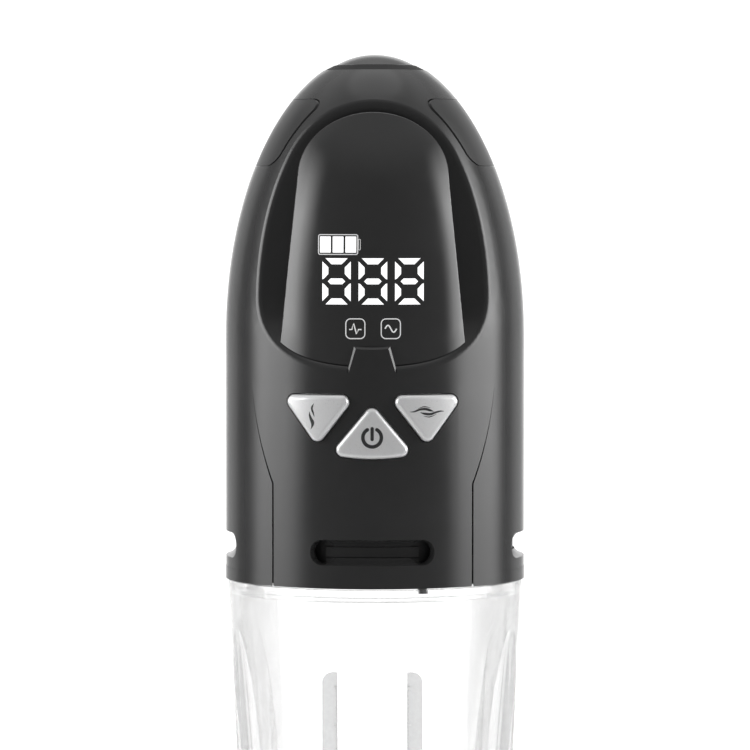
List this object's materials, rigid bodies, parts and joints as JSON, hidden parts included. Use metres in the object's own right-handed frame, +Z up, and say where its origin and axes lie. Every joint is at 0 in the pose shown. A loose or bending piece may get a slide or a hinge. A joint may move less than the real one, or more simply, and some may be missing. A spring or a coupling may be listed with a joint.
{
  "type": "handheld vacuum pump",
  "caption": "Battery handheld vacuum pump: bullet-shaped black head with lit display and triangular keys, twist-locked on a clear tapered fluted cylinder with a soft base ring.",
  "frame": {"origin": "centre of the soft base ring's lower face, the surface that the pump stands on", "axes": "+Z up along the cylinder's axis towards the cap, front with display and keys towards -Y, +X to the right seen from the front"},
  "size_m": [0.086, 0.086, 0.307],
  "materials": {
    "black_shell": "satin moulded plastic",
    "smoked_lens": "polished smoked lens",
    "soft_grip": "matt soft-touch",
    "silver_key": "satin silver paint",
    "spring_steel": "bright drawn wire",
    "screw_steel": "plated",
    "socket_steel": "plated",
    "motor_steel": "zinc plated can",
    "brass_part": "machined",
    "inner_plastic": "moulded",
    "collar_plastic": "moulded",
    "circuit_board": "solder mask",
    "switch_black": "moulded",
    "display_white": "lit segments",
    "cell_wrap": "shrink wrap",
    "wire_red": "insulation",
    "hose_silicone": "silicone",
    "seal_rubber": "silicone",
    "soft_ring": "soft silicone",
    "clear_tube": "clear polycarbonate",
    "frosted_print": "frosted film"
  },
  "bodies": {
    "cylinder": {"cylinder": "clear_tube", "scale_strips": "frosted_print", "base_seal": "soft_ring"},
    "neck_seal": {"neck_seal": "seal_rubber"},
    "head": {"main_housing": "black_shell", "cap_ring": "soft_grip", "front_cover": "black_shell", "display_window": "smoked_lens", "left_grip_inlay": "soft_grip", "right_grip_inlay": "soft_grip", "release_valve_body": "inner_plastic", "release_spring": "spring_steel", "control_board": "circuit_board", "key_switches": "switch_black", "display_module": "display_white", "display_diffuser": "display_white", "battery_cells": "cell_wrap", "battery_cradle": "inner_plastic", "battery_leads": "wire_red", "inner_chassis": "inner_plastic", "chassis_screws": "screw_steel", "pump_motor": "motor_steel", "pump_body": "inner_plastic", "pump_diaphragm": "seal_rubber", "air_hose": "hose_silicone", "vent_hose": "hose_silicone", "charge_socket": "socket_steel", "flap_pin": "screw_steel", "base_collar": "collar_plastic", "head_floor": "collar_plastic", "floor_screws": "screw_steel", "inlet_filter": "collar_plastic", "inlet_valve": "seal_rubber"},
    "release_button": {"release_button": "black_shell", "release_valve_seal": "seal_rubber"},
    "power_button": {"power_button": "silver_key"},
    "left_button": {"left_button": "silver_key"},
    "right_button": {"right_button": "silver_key"},
    "motor_rotor": {"motor_shaft": "screw_steel", "eccentric": "brass_part"},
    "charge_flap": {"charge_flap": "soft_grip"}
  },
  "joints": [
    {"name": "head_lift", "type": "slide", "parent": "cylinder", "child": "neck_seal", "axis": [0, 0, 1], "range_m": [0, 0.04]},
    {"name": "head_twist", "type": "hinge", "parent": "neck_seal", "child": "head", "pos_m": [0, 0, 0.167], "axis": [0, 0, 1], "range_deg": [0, 34]},
    {"name": "power_press", "type": "slide", "parent": "head", "child": "power_button", "axis": [0, 1, 0], "range_m": [0, 0.0008], "stiffness_N_per_m": 900},
    {"name": "left_press", "type": "slide", "parent": "head", "child": "left_button", "axis": [0, 1, 0], "range_m": [0, 0.0008], "stiffness_N_per_m": 900},
    {"name": "right_press", "type": "slide", "parent": "head", "child": "right_button", "axis": [0, 1, 0], "range_m": [0, 0.0008], "stiffness_N_per_m": 900},
    {"name": "release_press", "type": "slide", "parent": "head", "child": "release_button", "axis": [0, 0, -1], "range_m": [0, 0.001], "stiffness_N_per_m": 1500, "deforming": ["release_spring"]},
    {"name": "motor_spin", "type": "hinge", "parent": "head", "child": "motor_rotor", "pos_m": [0, -0.0065, 0.227], "axis": [0, 0, 1], "continuous": true},
    {"name": "flap_swing", "type": "hinge", "parent": "head", "child": "charge_flap", "pos_m": [0, 0.0385, 0.19025], "axis": [-1, 0, 0], "range_deg": [0, 80]}
  ]
}
